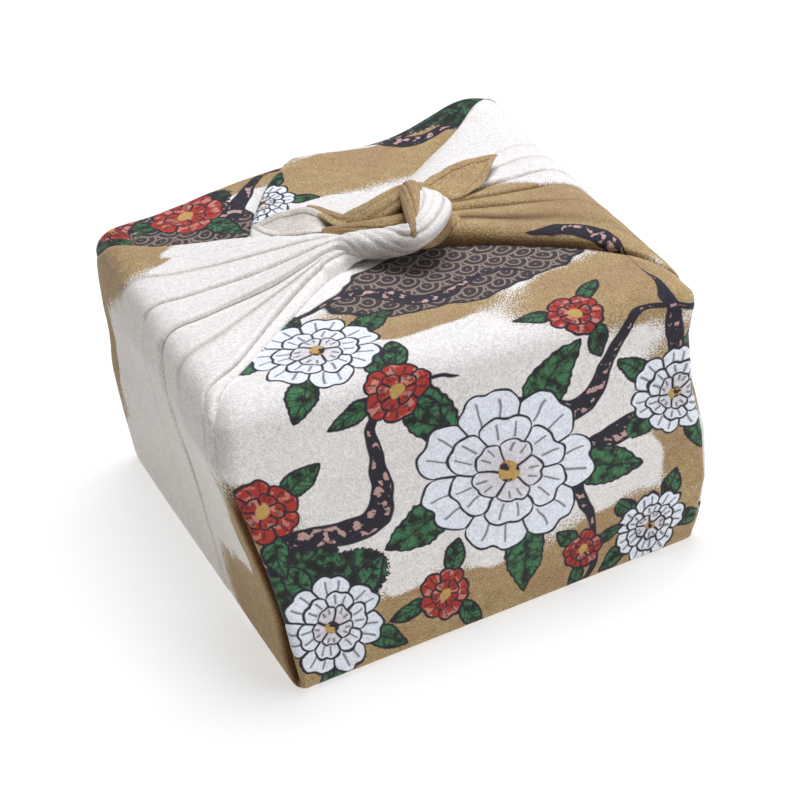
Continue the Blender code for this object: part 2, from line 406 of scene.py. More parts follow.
def leaves(colour, far, turn, radius, count, start, end, half, mottle):
    """A ring of leaves over the colour, from `start` to `end` in the flower's radii."""
    turned = Field.of("FLOORED_MODULO", turn, 2 * math.pi / count) - math.pi / count
    x = far * cosine(turned)
    y = abs(far * sine(turned))
    along = Field.of("MULTIPLY_ADD", x, 1 / (end - start), -start / (end - start), clamp=True)
    edge = (sine(along * math.pi) ** 0.75) * (1.25 - along * 0.6) * half
    tooth = abs(Field.of("FRACT", along * 9) - 0.5) * 0.03
    beyond = abs(x - (along * (end - start) + start))
    depth = (edge - y - tooth - beyond) * radius
    green = painted(LEAF, inside(mottle - 0.5, 0.12), LEAF_LIGHT)
    green = painted(green, inside(0.42 - mottle, 0.08), LEAF_DARK)
    colour = outlined(colour, depth, 0.6, 0.5, green)
    rib = smaller(y * radius, abs(Field.of("FRACT", along * 7 - y * 5) - 0.5) * (radius * 0.14) + 0.25)
    return painted(colour, inside(0.5 - rib, 0.4) * inside(depth, 0.5) * 0.8, LEAF_DARK)


WANDER = 5  # of an outline, from the noise's one end to its other
NEEDLES = 15  # tufts round a pine's mound
WAVE_SIZE = 13.0  # across one wave
RINGS = 4.4  # to each wave
WAVE_ROWS = 3  # of waves that can reach one place


def cloth_material(name):
    """A new material, on which the print's nodes are added from here on."""
    material = bpy.data.materials.new(name)
    material.use_nodes = True
    Field.tree = material.node_tree
    return material


def crepe_print():
    material = cloth_material("printed_crepe_cloth")
    cloth = new_node("UVMap")
    cloth.uv_map = "flat_cloth"
    scale = new_node("VectorMath")
    scale.operation = "SCALE"
    scale.inputs["Scale"].default_value = 1 / MM
    Field.tree.links.new(cloth.outputs[0], scale.inputs[0])
    flat = scale.outputs[0]

    # The hand's unevenness: every outline wanders by about a millimetre.
    _, wander = noise_over(flat, 0.07, 1.0)
    wander_u, wander_v, _ = split(wander)
    straight_u, straight_v, _ = split(flat)
    u = straight_u + (wander_u - 0.5) * WANDER
    v = straight_v + (wander_v - 0.5) * WANDER
    mottle, _ = noise_over(flat, 0.22, 4.0)
    speckle, _ = noise_over(flat, 1.1, 3.0)
    broad, _ = noise_over(flat, 0.03, 2.0)

    # Gold clouds, whose edges break up into a spray of flecks here and there.
    cloud = deepest(in_oval, CLOUDS, u, v) + (broad - 0.5) * 16
    fleck, _ = noise_over(flat, 1.5, 2.0)
    gold = painted(PALE_GOLD, inside(mottle - 0.46, 0.4), GOLD)
    gold = painted(gold, inside(0.47 - broad, 0.16) * 0.55, RED_GOLD)
    gold = painted(gold, inside(speckle + broad * 0.5 - 0.76, 0.35) * 0.6, DEEP_GOLD)
    gold = painted(gold, inside(fleck - 0.57, 0.16) * 0.45, DEEP_GOLD)
    gold = painted(gold, inside(0.43 - fleck, 0.16) * 0.35, BRIGHT_GOLD)
    spray = inside(broad - 0.5, 0.08) * 30 + 2
    colour = painted(IVORY, inside(cloud + (fleck - 0.5) * spray + (speckle - 0.5) * 3, 1.6), gold)

    # Pines: rounded dark green mounds of needles.
    mound = needles = None
    for one in PINES:
        depth = in_oval(one, u, v)
        tuft = Field.of("ARCTAN2", v - one.v, u - one.u) * NEEDLES
        if mound is None:
            mound, needles = depth, tuft
        else:
            needles = chosen(Field.of("GREATER_THAN", depth, mound), tuft, needles)
            mound = larger(mound, depth)
    mound = mound + (speckle - 0.5) * 4 + abs(sine(needles)) * 0.8
    green = painted(LEAF_DARK, inside(mottle - 0.47, 0.1), LEAF)
    green = painted(green, inside(mottle - 0.56, 0.06) * 0.8, LEAF_LIGHT)
    green = painted(green, inside(sine(needles) - 0.6, 0.5) * inside(mound - 1.2, 1.5) * 0.7, LEAF_DARK)
    colour = outlined(colour, mound, 0.5, 0.5, green)

    # Dark patches of waves, near the knot, at the back and on the right side. Each row's waves lie over the
    # next row's, half a wave along, and are ringed round their middles.
    waves = deepest(in_oval, WAVES, u, v) + (broad - 0.5) * 18
    comb = None
    for row in range(WAVE_ROWS):
        level = Field.of("FLOOR", v * (2 / WAVE_SIZE)) + row - 1
        offset = Field.of("FLOORED_MODULO", level, 2.0) * (WAVE_SIZE / 2)
        x = Field.of("FLOORED_MODULO", u + offset, WAVE_SIZE) - WAVE_SIZE / 2
        away = length(x, v - level * (WAVE_SIZE / 2))
        comb = away if comb is None else chosen(inside(WAVE_SIZE / 2 - comb, 0.1), comb, away)
    lines = abs(Field.of("FRACT", comb * (RINGS / WAVE_SIZE)) - 0.5) * (WAVE_SIZE / RINGS)
    dark = painted(DARK_WAVE, inside(lines - WAVE_SIZE / RINGS * 0.36, 0.3), WAVE_LINE)
    colour = outlined(colour, waves, 0.7, 0.6, dark)

    # Ribbons, widest in the middle and flecked with pink.
    band = deepest(in_ribbon, RIBBONS, u, v)
    colour = painted(colour, inside(band, 0.5), INK)
    flecks = inside(mottle - 0.56, 0.03) * inside(band - 1.4, 0.6)
    colour = painted(colour, flecks, PINK_FLECK)

    # White flowers among leaves, and red ones over them.
    line = mottle * 1.6 + 0.4
    far, turn, radius = nearest(WHITE_FLOWERS, u, v)
    colour = leaves(colour, far, turn + 0.5, radius, 5, 0.7, 1.58, 0.25, mottle)
    petal = painted(PETAL, inside(0.34 - far, 0.3) * 0.35, PINK_FLECK)
    colour = petals(colour, far, turn, radius, 7, 1.0, 0.24, 0.0, petal, line)
    colour = petals(colour, far, turn, radius, 6, 0.68, 0.24, 0.5, petal, line)
    colour = petals(colour, far, turn, radius, 5, 0.40, 0.22, 1.1, petal, line * 0.8)
    heart = inside((0.13 - far) * radius, 0.6)
    colour = painted(colour, heart, painted(STAMEN, inside(0.5 - mottle, 0.05), INK))
    far, turn, radius = nearest(RED_FLOWERS, u, v)
    colour = leaves(colour, far, turn + 0.3, radius, 3, 0.7, 2.1, 0.36, mottle)
    red = painted(RED, inside(mottle - 0.55, 0.05), RED_PALE)
    colour = petals(colour, far, turn, radius, 5, 1.0, 0.2, 0.0, red, line)
    colour = petals(colour, far, turn, radius, 5, 0.58, 0.2, 0.63, red, line * 0.75)
    colour = painted(colour, inside((0.22 - far) * radius, 0.5), STAMEN)

    pebbled(colour, 0.55)
    return material


def pebbled(colour, strength):
    """The crepe's own face: a pebbled grain a little under a millimetre, with its threads' light and dark.
    Shade is painted into folds, grooves and slots: the colour is darkened where the piece's crease attribute
    says."""
    solid = new_node("TexCoord").outputs["Object"]
    grain, _ = noise_over(solid, GRAIN)
    thread, _ = noise_over(solid, THREAD)
    tone = (grain - 0.5) * 0.8 + (thread - 0.5) * 0.3 + 1.0
    # Painted shade: the crease attribute darkens the colour in folds, grooves and slots, in place of their
    # shadow.
    crease = new_node("Attribute")
    crease.attribute_name = "crease"
    painted_shade = Field(crease.outputs["Fac"])
    grey = new_node("CombineXYZ")
    for socket, loss in zip(grey.inputs, PAINTED_SHADE_LOSS):
        feed(socket, tone * larger(1 - painted_shade * loss, DARKEST))
    bump = new_node("Bump")
    bump.inputs["Strength"].default_value = strength
    bump.inputs["Distance"].default_value = 0.6 * MM
    feed(bump.inputs["Height"], grain + thread * 0.6)
    cloth = Field.tree.nodes["Principled BSDF"].inputs
    feed(cloth["Base Color"], mixed(colour, Field(grey.outputs[0]), 1.0, "MULTIPLY"))
    feed(cloth["Normal"], Field(bump.outputs[0]))
    cloth["Roughness"].default_value = 0.82
    cloth["Specular IOR Level"].default_value = 0.25
    cloth["Sheen Weight"].default_value = 0.12
    cloth["Sheen Roughness"].default_value = 0.5


def crepe_back():
    """The cloth's unprinted wrong side: warm ivory, with the print showing through as faint darker clouds."""
    material = cloth_material("crepe_wrong_side")
    clouds, _ = noise_over(new_node("TexCoord").outputs["Object"], 60)
    colour = painted(BACK_IVORY, inside(clouds - 0.52, 0.25), BACK_SHADE)
    pebbled(colour, 0.4)
    return material


printed_crepe = crepe_print()
crepe_wrong_side = crepe_back()


# The front, base and back: the middle strip of the cloth. It comes from under the knot forward over the
# top, down the front, under the box, up the back and in again, and turns a little way round the corners.

HALF_SIDE = 100.0  # half of the wrapped box's width and depth, cloth included
HEIGHT = 131.0  # top of the cloth on the box
CORNER_RADIUS = 7.0  # of the four upright corners
TOP_RADIUS = 11.0  # of the soft edge where the cloth turns over the top
BASE_RADIUS = 3.0  # and of the one where it turns under the base
SIDE_SWELL = 2.5  # how far the middle of a side stands out
MIDDLE = np.array((1.1, 1.3, 0.0))  # brings the middle of the outline to the origin, as in the solid
TURN_IN = 25.0  # how far the strip goes on round an upright corner
LIP_RADIUS = 3.2  # of the corners' lower part, where the strip's fold stands off the tie behind it
LIP_DEPTH = 5.0  # how far the strip then turns in behind the left fold
LIP_STAND = 2.2  # how far the left fold stands off in front
LIP_INSET = 1.3  # and how far it stays in from the tie beside it
LIP_HEIGHTS = (118, 90)  # the corners sharpen from the first height down to the second
LOOSE_HEIGHTS = (100, 72)  # and the left fold comes to stand off between these
SLOT_HEIGHTS = (100, 84)  # where the shade painted into the slot between that fold and the left tie fades in
SLOT_PAINTED_SHADE = 1.4  # how dark the shade painted into the slot is, on the crease attribute's scale
CLOTH = 1.0  # thickness of the crepe
TO_BASE = HALF_SIDE  # from the cloth's middle to the base's edge, along the cloth
TO_TOP = TO_BASE + HEIGHT  # and to the top's edge


class Level(NamedTuple):
    """How far the four upright corners lie from the even box's at one height, as (x, y)."""

    height: float
    front_left: tuple
    front_right: tuple
    back_right: tuple
    back_left: tuple


LEVELS = rows_of(Level, (
    (0, (5, -12.5), (-5, 2), (0, 1), (-1, 5)),
    (14, (3.6, -10.5), (-1.5, 0), (1, 2), (-2, 6)),
    (33, (2.6, -8), (2, -2), (2, 3), (-3, 6)),
    (58, (-0.6, -5), (1.6, -3), (3, 3), (-4, 5)),
    (84, (-5.4, -3.5), (-3, -4), (4, 3), (-3, 4)),
    (108, (-10.3, -3), (-1.5, -4), (5, 3), (-3, 3)),
    (125, (-7.1, 0), (3.6, -5), (5, 2.3), (-3.7, 0.8)),
    (131, (-6, 1), (0.5, -4), (5, 2), (-4, 0)),
))
TOP_RISE = {"front_left": 3.0, "front_right": -1.5, "back_right": 2.0, "back_left": -1.6}


class Puff(NamedTuple):
    """A place on the top where folds beneath hold the cloth up."""

    x: float
    y: float
    reach: float
    rise: float


PUFFS = rows_of(Puff, (
    (0, 0, 60, 1.5),
    (-41, 98, 24, 2.2),
    (-10, 100, 30, 5.2),
    (26, 100, 26, -0.4),
    (54, 100, 22, 1.6),
    (82, 100, 20, 9.5),
))


class Dent(NamedTuple):
    """A soft hollow in the front, or a swelling where the depth is negative."""

    x: float
    z: float
    reach_x: float
    reach_z: float
    depth: float


DENTS = rows_of(Dent, (
    (-43, 97, 20, 16, 1.8),
    (-78, 60, 16, 40, -1.2),
    (20, 70, 34, 22, -1.0),
    (62, 40, 22, 30, 1.0),
    (0, 20, 50, 12, 0.8),
))


def smooth(low, high, value):
    """0 below low, 1 above high, and an even turn between."""
    t = np.clip((value - low) / (high - low), 0, 1)
    return t * t * (3 - 2 * t)


def corner_shares(x, y):
    """How much of a place belongs to each upright corner."""
    right = np.clip(x / HALF_SIDE, -1.1, 1.1) / 2 + 0.5
    back = np.clip(y / HALF_SIDE, -1.1, 1.1) / 2 + 0.5
    return {
        "front_left": (1 - right) * (1 - back),
        "front_right": right * (1 - back),
        "back_right": right * back,
        "back_left": (1 - right) * back,
    }


def settled(points):
    """Points of the even box, moved to where the tied cloth lies."""
    x, y, z = points.T
    heights = [level.height for level in LEVELS]
    moved = points.copy()
    for corner, share in corner_shares(x, y).items():
        for axis in (0, 1):
            shifts = [getattr(level, corner)[axis] for level in LEVELS]
            moved[:, axis] += share * np.interp(z, heights, shifts)
        moved[:, 2] += share * TOP_RISE[corner] * z / HEIGHT
    for puff in PUFFS:
        away = ((x - puff.x) ** 2 + (y - puff.y) ** 2) / puff.reach**2
        moved[:, 2] += puff.rise * np.exp(-away) * smooth(0.7 * HEIGHT, HEIGHT, z)
    return moved


def cloth_piece(name, rows, flat, painted_crease_shade=None, closed=False):
    """A sheet through rows of points, with its place on the flat cloth as its UV map, in metres, and how much
    shade is painted into its folds at each point, from 0 to 1. A closed sheet's rows are rings, and its flat
    rows have one more place than its rings have points."""
    mesh = bmesh.new()
    places = mesh.loops.layers.uv.new("flat_cloth")
    verts = [[mesh.verts.new(Vector((point + MIDDLE) * MM)) for point in row] for row in rows]
    for i in range(len(rows) - 1):
        for j in range(len(rows[0]) - (0 if closed else 1)):
            k = (j + 1) % len(rows[0])
            face = mesh.faces.new((verts[i][j], verts[i][k], verts[i + 1][k], verts[i + 1][j]))
            corners = ((i, j), (i, j + 1), (i + 1, j + 1), (i + 1, j))
            for loop, (a, b) in zip(face.loops, corners):
                loop[places].uv = (flat[a][b][0] * MM, flat[a][b][1] * MM)
    if closed:
        mesh.faces.new(verts[0][::-1])
        mesh.faces.new(verts[-1])
    data = bpy.data.meshes.new(name)
    mesh.to_mesh(data)
    mesh.free()
    data.shade_smooth()
    # Painted shade: it is kept as the crease attribute, by which the material darkens the colour.
    if painted_crease_shade is not None:
        data.attributes.new("crease", "FLOAT", "POINT").data.foreach_set("value", np.ravel(painted_crease_shade))
    piece = bpy.data.objects.new(name, data)
    bpy.context.scene.collection.objects.link(piece)
    if not closed:
        solidify = piece.modifiers.new("cloth", "SOLIDIFY")
        solidify.thickness = CLOTH * MM
        solidify.offset = -1
    piece.data.materials.append(printed_crepe)
    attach(piece, "root")
    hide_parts("furoshiki")
    return piece


def flat_size(flat):
    """The width and length of a piece laid flat, in metres, and its area."""
    flat = np.array(flat) * MM
    across = flat[:-1, 1:] - flat[1:, :-1]
    along = flat[1:, 1:] - flat[:-1, :-1]
    area = abs(across[..., 0] * along[..., 1] - across[..., 1] * along[..., 0]).sum() / 2
    wide, long = np.ptp(flat[..., 0]), np.ptp(flat[..., 1])
    return (float(wide), float(long)), float(min(area, wide * long))


def ruffle(points, size, depth):
    """Small uneven waves, so that no run of cloth is quite flat."""
    return np.array([noise.noise(Vector(p) / size) for p in points]) * depth


def side_waves(points):
    """The waves of the plain front, back and flap."""
    return ruffle(points, 34, 0.9) + ruffle(points, 13, 0.3)


SIDE_STEPS = 72  # points across a side, round a corner and on its turn-in
CORNER_STEPS = 6
TURN_STEPS = 7
KNOT_INSET = 97.0  # how far in over the top the strip runs, under the knot
UPTURN = 9.0  # how far the base's cloth turns up beside the box, under the ties
TOP_ROWS = 36  # rows over the top, round its edge, down the front and on half of the base
EDGE_ROWS = 10
FRONT_ROWS = 50
BASE_ROWS = 16


def strip_outline(half, radius, turn_in):
    """The strip's line across the front at one height, from its left turn-in to its right one, as (x, y),
    and how far along the cloth each point is."""
    inner = half - radius
    points, along = [], []
    for t in np.linspace(turn_in, 0, TURN_STEPS, endpoint=False):
        points.append((-half, -inner + t))
        along.append(-inner - radius * math.pi / 2 - t)
    for angle in np.linspace(0, math.pi / 2, CORNER_STEPS, endpoint=False):
        x, y = on_circle(math.pi + angle)
        points.append((-inner + radius * x, -inner + radius * y))
        along.append(-inner - radius * (math.pi / 2 - angle))
    for x in np.linspace(-inner, 0, SIDE_STEPS // 2, endpoint=False):
        points.append((x, -half))
        along.append(x)
    points.append((0, -half))
    along.append(0)
    points = np.array(points)
    along = np.array(along)
    return np.vstack([points, points[-2::-1] * (-1, 1)]), np.concatenate([along, -along[-2::-1]])


def front_rows():
    """The strip from under the knot to the base, each row with its places on the flat cloth."""
    profile = [(inset, HEIGHT) for inset in np.linspace(KNOT_INSET, TOP_RADIUS, TOP_ROWS, endpoint=False)]
    for angle in np.linspace(math.pi / 2, 0, EDGE_ROWS, endpoint=False):
        inset = TOP_RADIUS * (1 - math.cos(angle))
        profile.append((inset, HEIGHT - TOP_RADIUS * (1 - math.sin(angle))))
    profile += [(0.0, height) for height in np.linspace(HEIGHT - TOP_RADIUS, BASE_RADIUS, FRONT_ROWS)]
    rows, flat = [], []
    for inset, height in profile:
        half = HALF_SIDE - inset
        lower = float(smooth(*LIP_HEIGHTS, height))
        radius = CORNER_RADIUS + (LIP_RADIUS - CORNER_RADIUS) * lower
        turn_in = min(TURN_IN, half)
        outline, along = strip_outline(half, min(max(radius - inset / 3, 2.0), half / 2), turn_in)
        if inset == 0:
            behind = np.linspace(turn_in, 0, TURN_STEPS, endpoint=False)
            outline[:TURN_STEPS, 0] += LIP_DEPTH * smooth(0, 7, behind) * lower
            loose = LIP_STAND * float(smooth(*LOOSE_HEIGHTS, height) * smooth(2, 12, height))
            outline[:, 1] -= loose * smooth(-84, -99, outline[:, 0])
            outline[:, 0] = np.maximum(outline[:, 0], LIP_INSET * lower - HALF_SIDE)
        from_corner = 1 - np.min(abs(outline), axis=1) / HALF_SIDE
        swell = SIDE_SWELL * math.sin(math.pi * height / HEIGHT) * from_corner
        outline = outline + outline / np.linalg.norm(outline, axis=1)[:, None] * swell[:, None]
        rows.append(np.column_stack([outline, np.full(len(outline), height)]))
        if inset >= TOP_RADIUS:
            flat.append(np.column_stack([outline[:, 0], -(TO_TOP + HALF_SIDE + outline[:, 1])]))
        else:
            flat.append(np.column_stack([along, np.full(len(along), -TO_BASE - height - inset)]))
    return rows, flat


def middle_strip():
    """The whole strip, whose back is at first like its front, settled and with the front's dents."""
    half, half_flat = front_rows()
    inner = HALF_SIDE - BASE_RADIUS
    for y in np.linspace(-inner, 0, BASE_ROWS):
        left = [(-HALF_SIDE, y, z) for z in np.linspace(UPTURN, BASE_RADIUS, TURN_STEPS, endpoint=False)]
        for angle in np.linspace(0, math.pi / 2, CORNER_STEPS, endpoint=False):
            x, z = on_circle(angle)
            left.append((-inner - BASE_RADIUS * x, y, BASE_RADIUS * (1 - z)))
        left += [(x, y, 0.0) for x in np.linspace(-inner, 0, SIDE_STEPS // 2, endpoint=False)]
        left = np.array(left + [(0.0, y, 0.0)])
        row = np.vstack([left, left[-2::-1] * (-1, 1, 1)])
        half.append(row)
        half_flat.append(np.column_stack([row[:, 0], np.full(len(row), y)]))
    rows = half + [row * (1, -1, 1) for row in half[-2::-1]]
    flat = half_flat + [row * (1, -1) for row in half_flat[-2::-1]]
    settled_rows = []
    for row in rows:
        x, y, z = row.T
        off_base = smooth(2, 14, z)
        on_front = smooth(-90, -97, y) * off_base * smooth(HEIGHT, HEIGHT - 12, z)
        moved = settled(row)
        for dent in DENTS:
            away = ((x - dent.x) / dent.reach_x) ** 2 + ((z - dent.z) / dent.reach_z) ** 2
            moved[:, 1] += dent.depth * np.exp(-away) * on_front
        waves = side_waves(row)
        moved[:, 1] += waves * (on_front + smooth(90, 97, y) * off_base)
        moved[:, 2] += waves * smooth(HEIGHT - 4, HEIGHT, z)
        settled_rows.append(moved)
    return settled_rows, flat


rows, flat = middle_strip()
# Painted shade in the slot behind the left fold: the strip's turn-in there is darkened.
painted_shade = np.zeros((len(rows), len(rows[0])))
painted_shade[:, : TURN_STEPS - 1] = [
    SLOT_PAINTED_SHADE * smooth(*SLOT_HEIGHTS, row[: TURN_STEPS - 1, 2]) for row in rows
]
front_and_back = cloth_piece("front_and_back", rows, flat, painted_shade)
size, area = flat_size(flat)


# The back flap: the cloth's back corner, pleated once and folded over the front one on the top.


class FlapRow(NamedTuple):
    """One line of the flap from its left fold to its right end."""

    back: float
    height: float
    left: float
    right: float
    lift: float  # of the cloth above the even box


FLAP_ROWS = rows_of(FlapRow, (
    (100, 10, 36, 96, -1.5),
    (100, 34, 27, 96, -0.9),
    (100, 60, 14, 96, 0.8),
    (100, 96, 0, 97, 2.0),
    (98, 123.5, -4.5, 97, 3.0),
    (91, 131, -10, 96, 4.2),
    (74, 131, -27, 92, 3.8),
    (44, 131, -43, 80, 3.2),
    (14, 131, -48, 60, 2.2),
    (-4, 131, -34, 44, 0.3),
))
TUCK = 1.4  # how far a folded edge goes down beside the cloth that it lies on
FLAP_SLIP = 20.0  # how much cloth the pleat under the flap takes up
PLEAT_FOOT = 40.0  # height at which that pleat begins


def spline(rows, steps):
    """Rows read along a smooth curve through them, `steps` to each gap. Every column is curved alike."""
    rows = np.array(rows, float)
    padded = np.vstack([2 * rows[0] - rows[1], rows, 2 * rows[-1] - rows[-2]])
    read = []
    for before, start, end, after in zip(padded, padded[1:], padded[2:], padded[3:]):
        bend = 2 * before - 5 * start + 4 * end - after
        twist = 3 * start - before - 3 * end + after
        for t in np.linspace(0, 1, steps, endpoint=False):
            read.append(start + ((end - before) * t + bend * t**2 + twist * t**3) / 2)
    return np.array(read + [rows[-1]])


def around(rows, k):
    """The step from the row before row k to the row after it."""
    return rows[min(k + 1, len(rows) - 1)] - rows[max(k - 1, 0)]


def rolled(share, width, lift):
    """How high a layer with rolled edges stands, as a part of its lift. `share` goes from 0 to 1 over it."""
    roll = np.clip(lift * 1.3 / max(width, 1), 0.01, 0.3)
    near = np.clip(np.minimum(share, 1 - share) / roll, 0, 1)
    return np.sqrt(np.clip(1 - (1 - near) ** 2, 0, 1))


def steps_along(points):
    """How far along a line each of its points is."""
    return np.concatenate([[0], np.cumsum(np.linalg.norm(np.diff(points, axis=0), axis=1))])


# places across the flap, closer together at its folds
ACROSS_FLAP = np.concatenate(
    [np.linspace(0, 0.12, 14), np.linspace(0.13, 0.9, 60), np.linspace(0.91, 1, 6)]
)


def back_flap():
    """The flap's rows, with their places on the flat cloth."""
    table = spline(FLAP_ROWS, 9)
    lines = []
    for k, (back, height, left, right, lift) in enumerate(table):
        deeper, higher = around(table, k)[:2]
        out = np.array((0, higher, -deeper)) / math.hypot(higher, deeper)
        across = left + (right - left) * ACROSS_FLAP
        rise = lift * (rolled(ACROSS_FLAP, right - left, lift) if lift > 0 else np.ones_like(across))
        rise[0], rise[-1] = -TUCK, -TUCK
        swell = SIDE_SWELL * math.sin(math.pi * height / HEIGHT) * (1 - abs(across) / HALF_SIDE)
        row = np.column_stack([across, back + swell, np.full(len(across), height)])
        waves = side_waves(row) * out[1]
        row += np.outer(rise, out)
        moved = settled(row)
        moved[:, 1] += waves
        loose = (ruffle(row, 30, 1.2) + ruffle(row, 11, 0.3)) * out[2]
        moved[:, 2] += loose * smooth(0, 0.1, ACROSS_FLAP)
        lines.append(moved)
    lines = np.array(lines)
    down = steps_along(lines[:, len(ACROSS_FLAP) // 2])
    flat = np.zeros(lines.shape[:2] + (2,))
    for k in range(len(lines)):
        slip = FLAP_SLIP * smooth(PLEAT_FOOT, HEIGHT, table[k][1])
        flat[k, :, 0] = steps_along(lines[k]) + lines[k][0][0] + slip
        flat[k, :, 1] = TO_BASE + table[0][1] + down[k]
    return lines[:, ::-1], flat[:, ::-1]


rows, flat = back_flap()
flap = cloth_piece("back_flap", rows, flat)
size, area = flat_size(flat)


# The ties: the cloth's left and right corners, each drawn up its side and laid in pleats towards the knot.
# A pleat's fold lies over the next one, and its edges are turned under.


class TieRow(NamedTuple):
    """One line of a tie from its front fold to its back one."""

    reach: float  # distance from the middle of the wrap towards the side
    height: float
    front: float
    back: float
    lift: float  # of the cloth above the even box
    pleat: float  # depth of the valleys between its folds


class Valley(NamedTuple):
    """A valley between two pleats, as shares of the tie's width from its front fold."""

    place: float  # over the top's edge
    knot: float  # at the knot
    foot: float  # halfway down the side
    width: float
    lap: float  # how far the fold behind lies over it, in widths
    depth: float  # its share of the row's pleat
    side: float  # how much of it runs on down the side
    rim: float  # and how much of it gets as far as the top's edge


LEFT_TIE = rows_of(TieRow, (
    (84, 1.0, -90, 92, 1.0, 0.0),
    (95, 1.0, -95, 96, 1.0, 0.0),
    (100, 4, -97, 99, 1.8, 0.2),
    (100, 30, -98, 99, 2.4, 0.3),
    (100, 62, -98, 98, 2.6, 0.6),
    (100, 90, -98, 96, 2.8, 1.2),
    (100, 118, -94, 88, 3.0, 2.0),
    (99.2, 127.8, -88, 76, 3.4, 2.5),
    (95, 131, -83, 69, 3.8, 2.9),
    (84, 131, -73, 57, 4.6, 3.2),
    (70, 131, -58, 48, 5.2, 3.6),
    (52, 131, -40, 37, 7.2, 4.6),
    (36, 131, -25, 26, 9.0, 4.4),
    (24, 131, -16, 15, 10.2, 3.2),
    (15, 131, -13, 5, 10.8, 1.6),
    (6, 131, -17, -9, 9.6, 0.6),
))
LEFT_VALLEYS = rows_of(Valley, (
    (0.055, 0.13, 0.04, 0.024, 1.1, 0.95, 0.1, 1.0),
    (0.23, 0.19, 0.23, 0.045, 0.2, 0.25, 0.1, 1.0),
    (0.41, 0.28, 0.38, 0.030, 1.5, 1.5, 0.9, 1.0),
    (0.56, 0.46, 0.56, 0.036, 0.8, 0.85, 0.2, 0.9),
    (0.74, 0.66, 0.76, 0.050, 0.4, 0.35, 0.2, 0.7),
    (0.88, 0.84, 0.90, 0.030, 0.8, 0.25, 0.1, 0.6),
))
RIGHT_TIE = rows_of(TieRow, (
    (84, 1.0, -90, 92, 1.0, 0.0),
    (95, 1.0, -94, 96, 1.0, 0.0),
    (100, 4, -97, 99, 1.8, 0.2),
    (100, 30, -98, 100, 3.6, 0.4),
    (100, 62, -98, 100, 3.2, 0.6),
    (100, 92, -95, 99, 2.8, 0.8),
    (100, 114, -87, 98, 2.8, 1.0),
    (96.5, 127, -75, 97, 3.4, 1.4),
    (88, 131, -61.5, 90, 5.6, 2.4),
    (74, 131, -47.5, 79, 7.2, 4.0),
    (56, 131, -35, 65, 9.2, 5.2),
    (42, 131, -25.5, 52, 10.6, 5.2),
    (32, 131, -20, 42, 11.4, 4.2),
    (23, 131, -15, 30, 11.0, 1.6),
    (14, 131, -13, 8, 8.0, 0.6),
))
RIGHT_VALLEYS = rows_of(Valley, (
    (0.17, 0.17, 0.17, 0.080, 0.1, 0.35, 0.2, 0.6),
    (0.30, 0.33, 0.24, 0.062, 0.5, 1.15, 0.2, 0.15),
    (0.44, 0.42, 0.42, 0.034, 1.5, 1.2, 0.5, 0.7),
    (0.53, 0.50, 0.53, 0.028, 1.1, 1.0, 0.4, 0.5),
    (0.63, 0.58, 0.60, 0.030, 0.3, 0.2, 0.5, 0.8),
    (0.72, 0.70, 0.67, 0.025, 0.3, 0.14, 0.8, 0.8),
))
ACROSS_TIE = np.linspace(0, 1, 260)  # places from a tie's front fold to its back one
FULL_LAP = 2.6  # the pleat depth from which the folds lap over fully
FULL_DROP = 1.3  # and how deep a valley is when the shade painted into it is fully dark
MOST_CREASE = 1.1  # a deeper one's painted shade is only this dark


class Edges(NamedTuple):
    """How a tie comes down to its front and back folds."""

    front: float  # share of its width over which it rises from the front fold
    back: float
    front_edge: float  # height of the fold itself
    back_edge: float  # it lies over the flap, so it's higher
    back_share: float  # and no higher than this share of the lift
    slot: float  # how far in the front fold goes beside the lip, low on the side


LEFT_EDGES = Edges(0.26, 0.30, 1.8, 4.6, 0.6, 6.0)
RIGHT_EDGES = Edges(0.07, 0.34, 1.8, 5.0, 0.8, 0.0)
SLOT_SHADE = 1.7  # width of the shade painted into the fold beside the lip
EDGE_SHADE = 1.3  # and of the shadow painted where a tie's front fold meets the cloth under it
LEAST_ROLL = 9.0  # how far in a narrow tie's round edge goes
HALF_DOWN = 68  # from the top to halfway down the side, where the pleats come to their lowest places
NECK = (88, 24)  # reaches between which they close up on the knot


def pleats(valleys, pleat, crease, neck):
    """How far the places across a tie move, how far its folds drop and how much shade is painted into its
    valleys, at one row. `crease` says how far down the side the row is, 0 on the top and 1 halfway down, and
    `neck` how near the knot it is."""
    moved = ACROSS_TIE.copy()
    drop, line = np.zeros_like(moved), np.zeros_like(moved)
    for valley in valleys:
        place = valley.place + (valley.foot - valley.place) * crease + (valley.knot - valley.place) * neck
        x = (ACROSS_TIE - place) / valley.width
        lap = valley.lap * min(pleat / FULL_LAP, 1)
        share = valley.depth * (1 + (valley.side - 1) * smooth(-0.1, 0.3, crease))
        share *= valley.rim + (1 - valley.rim) * neck
        moved -= lap * valley.width * x * np.exp(0.5 - x * x / 2)
        falling = np.exp(np.minimum(x + 0.5, 0) * 0.6)
        rising = smooth(0.7, -0.5, x)
        crest = -0.16 * np.exp(-(((x - 1.0) / 0.7) ** 2))
        drop += pleat * share * (falling * rising + crest)
        # Painted shade along each valley, darker the deeper it is.
        dark = min(pleat * share / FULL_DROP, MOST_CREASE)
        line = np.maximum(line, dark * np.exp(-(((x + 0.3) / 0.45) ** 2)))
    return moved, drop, line


